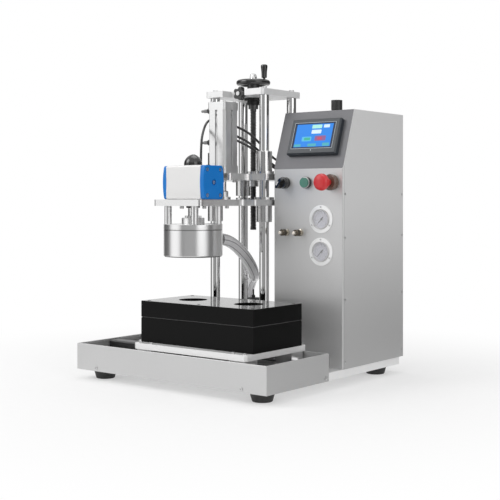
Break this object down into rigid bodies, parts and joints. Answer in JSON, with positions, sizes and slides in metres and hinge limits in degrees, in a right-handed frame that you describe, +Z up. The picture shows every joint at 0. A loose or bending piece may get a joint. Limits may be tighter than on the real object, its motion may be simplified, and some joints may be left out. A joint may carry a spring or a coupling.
{
  "type": "jar vacuum capping machine",
  "caption": "Bench machine that draws the air from a jar under a lowered chamber and turns its cap on, with a sliding nest block and a control cabinet.",
  "frame": {"origin": "on the table under the middle of the machine, feet at z = 0", "axes": "+Z up, +X to the operator's right, -Y towards the operator"},
  "size_m": [0.6, 0.586, 0.801],
  "materials": {
    "milled_aluminium": "milled and satin",
    "plate_aluminium": "clear anodised plate",
    "turned_aluminium": "satin turned",
    "brushed_sheet": "brushed stainless sheet",
    "chromed_bar": "ground and chromed",
    "bush_steel": "ground steel",
    "black_steel": "black oxide",
    "nickel_brass": "nickel plated",
    "rubber": "moulded rubber",
    "black_moulding": "polished phenolic",
    "black_acetal": "machined acetal",
    "actuator_white": "clear anodised extrusion",
    "actuator_blue": "blue enamel",
    "fitting_plastic": "moulded",
    "slate_plastic": "moulded",
    "screen_glass": "glass over a lit panel",
    "lens_glass": "clear",
    "needle_black": "black paint",
    "button_green": "moulded",
    "stop_red": "moulded",
    "clear_hose": "clear hose with a wire helix",
    "tube_black": "polyurethane tube"
  },
  "bodies": {
    "frame": {"base_plate": "milled_aluminium", "tray_skirt": "brushed_sheet", "rubber_feet": "rubber", "guide_columns": "chromed_bar", "top_plate": "plate_aluminium", "screw_bearing": "black_steel", "cabinet_shell": "brushed_sheet", "hmi_housing": "slate_plastic", "hmi_screen": "screen_glass", "control_bezels": "black_moulding", "gauge_cases": "chromed_bar", "gauge_lenses": "lens_glass", "panel_valve_bodies": "nickel_brass", "linear_rails": "chromed_bar", "shuttle_cylinder": "turned_aluminium", "vacuum_filter": "fitting_plastic", "vacuum_hose_rear": "clear_hose"},
    "shuttle": {"slide_plate": "plate_aluminium", "bearing_blocks": "turned_aluminium", "fixture_base": "black_acetal", "fixture_top": "black_acetal", "shuttle_rod": "chromed_bar"},
    "screw": {"lead_screw": "black_steel", "handwheel": "black_moulding"},
    "handle": {"handle_grip": "black_moulding"},
    "clamp": {"clamp_knob": "black_moulding"},
    "carriage": {"carriage_plate": "plate_aluminium", "lift_nut": "bush_steel", "carriage_bushes": "bush_steel", "air_cylinder": "plate_aluminium", "cylinder_fittings": "fitting_plastic", "air_tube_upper": "tube_black", "air_tube_middle": "tube_black", "air_tube_lower": "tube_black", "actuator_air_tube": "tube_black"},
    "head": {"head_plate": "plate_aluminium", "head_bushes": "bush_steel", "piston_rod": "chromed_bar", "actuator_body": "actuator_white", "actuator_caps": "actuator_blue", "chamber_posts": "turned_aluminium", "chamber_lid": "turned_aluminium", "chamber_wall": "turned_aluminium", "chamber_seal": "rubber", "spindle_seal": "turned_aluminium", "hose_port": "nickel_brass", "vacuum_hose_front": "clear_hose"},
    "spindle": {"pinion_shaft": "bush_steel", "indicator_dome": "black_moulding", "chuck": "turned_aluminium"},
    "rack_left": {"rack_piston_left": "bush_steel"},
    "rack_right": {"rack_piston_right": "bush_steel"},
    "selector": {"selector_knob": "black_moulding"},
    "start_button": {"green_button": "button_green"},
    "stop_button": {"estop_head": "stop_red"},
    "needle_lower": {"gauge_needle_lower": "needle_black"},
    "needle_upper": {"gauge_needle_upper": "needle_black"},
    "valve_left": {"valve_knob_left": "nickel_brass"},
    "valve_right": {"valve_knob_right": "nickel_brass"},
    "regulator": {"regulator_knob": "fitting_plastic"}
  },
  "joints": [
    {"name": "shuttle_slide", "type": "slide", "parent": "frame", "child": "shuttle", "axis": [-1, 0, 0], "range_m": [0, 0.174]},
    {"name": "handwheel_turn", "type": "hinge", "parent": "frame", "child": "screw", "pos_m": [-0.022, 0.0705, 0.74], "axis": [0, 0, -1], "range_deg": [-2250, 5400]},
    {"name": "carriage_lift", "type": "slide", "parent": "frame", "child": "carriage", "axis": [0, 0, 1], "range_m": [-0.025, 0.06]},
    {"name": "head_stroke", "type": "slide", "parent": "carriage", "child": "head", "axis": [0, 0, 1], "range_m": [-0.08, 0]},
    {"name": "spindle_turn", "type": "hinge", "parent": "head", "child": "spindle", "pos_m": [-0.022, -0.168, 0.4], "axis": [0, 0, -1], "range_deg": [0, 90]},
    {"name": "rack_left_slide", "type": "slide", "parent": "head", "child": "rack_left", "axis": [-1, 0, 0], "range_m": [0, 0.0158]},
    {"name": "rack_right_slide", "type": "slide", "parent": "head", "child": "rack_right", "axis": [1, 0, 0], "range_m": [0, 0.0158]},
    {"name": "handle_spin", "type": "hinge", "parent": "screw", "child": "handle", "pos_m": [0.014, 0.0705, 0.78], "axis": [0, 0, 1], "continuous": true},
    {"name": "clamp_knob_turn", "type": "hinge", "parent": "frame", "child": "clamp", "pos_m": [-0.022, 0.023, 0.723], "axis": [0, -1, 0], "range_deg": [0, 270]},
    {"name": "selector_turn", "type": "hinge", "parent": "frame", "child": "selector", "pos_m": [0.13, 0.007, 0.491], "axis": [0, -1, 0], "range_deg": [-90, 0]},
    {"name": "start_button_press", "type": "slide", "parent": "frame", "child": "start_button", "axis": [0, 1, 0], "range_m": [0, 0.004], "stiffness_N_per_m": 500, "springref_m": -0.002},
    {"name": "stop_button_press", "type": "slide", "parent": "frame", "child": "stop_button", "axis": [0, 1, 0], "range_m": [0, 0.004]},
    {"name": "gauge_needle_lower_turn", "type": "hinge", "parent": "frame", "child": "needle_lower", "pos_m": [0.237, 0.007, 0.323], "axis": [0, -1, 0], "range_deg": [-270, 0], "stiffness_Nm_per_rad": 0.0005},
    {"name": "gauge_needle_upper_turn", "type": "hinge", "parent": "frame", "child": "needle_upper", "pos_m": [0.237, 0.007, 0.402], "axis": [0, -1, 0], "range_deg": [-270, 0], "stiffness_Nm_per_rad": 0.0005},
    {"name": "valve_left_turn", "type": "hinge", "parent": "frame", "child": "valve_left", "pos_m": [0.1335, 0.007, 0.368], "axis": [0, -1, 0], "range_deg": [0, 720]},
    {"name": "valve_right_turn", "type": "hinge", "parent": "frame", "child": "valve_right", "pos_m": [0.1755, 0.007, 0.368], "axis": [0, -1, 0], "range_deg": [0, 720]},
    {"name": "regulator_turn", "type": "hinge", "parent": "frame", "child": "regulator", "pos_m": [0.216, 0.107, 0.68], "axis": [0, 0, 1], "range_deg": [-720, 720]}
  ],
  "couplings": [
    {"joint": "handwheel_turn", "follows": "carriage_lift", "rad_per_m": 1570.8},
    {"joint": "rack_left_slide", "follows": "spindle_turn", "m_per_rad": 0.01},
    {"joint": "rack_right_slide", "follows": "spindle_turn", "m_per_rad": 0.01}
  ]
}
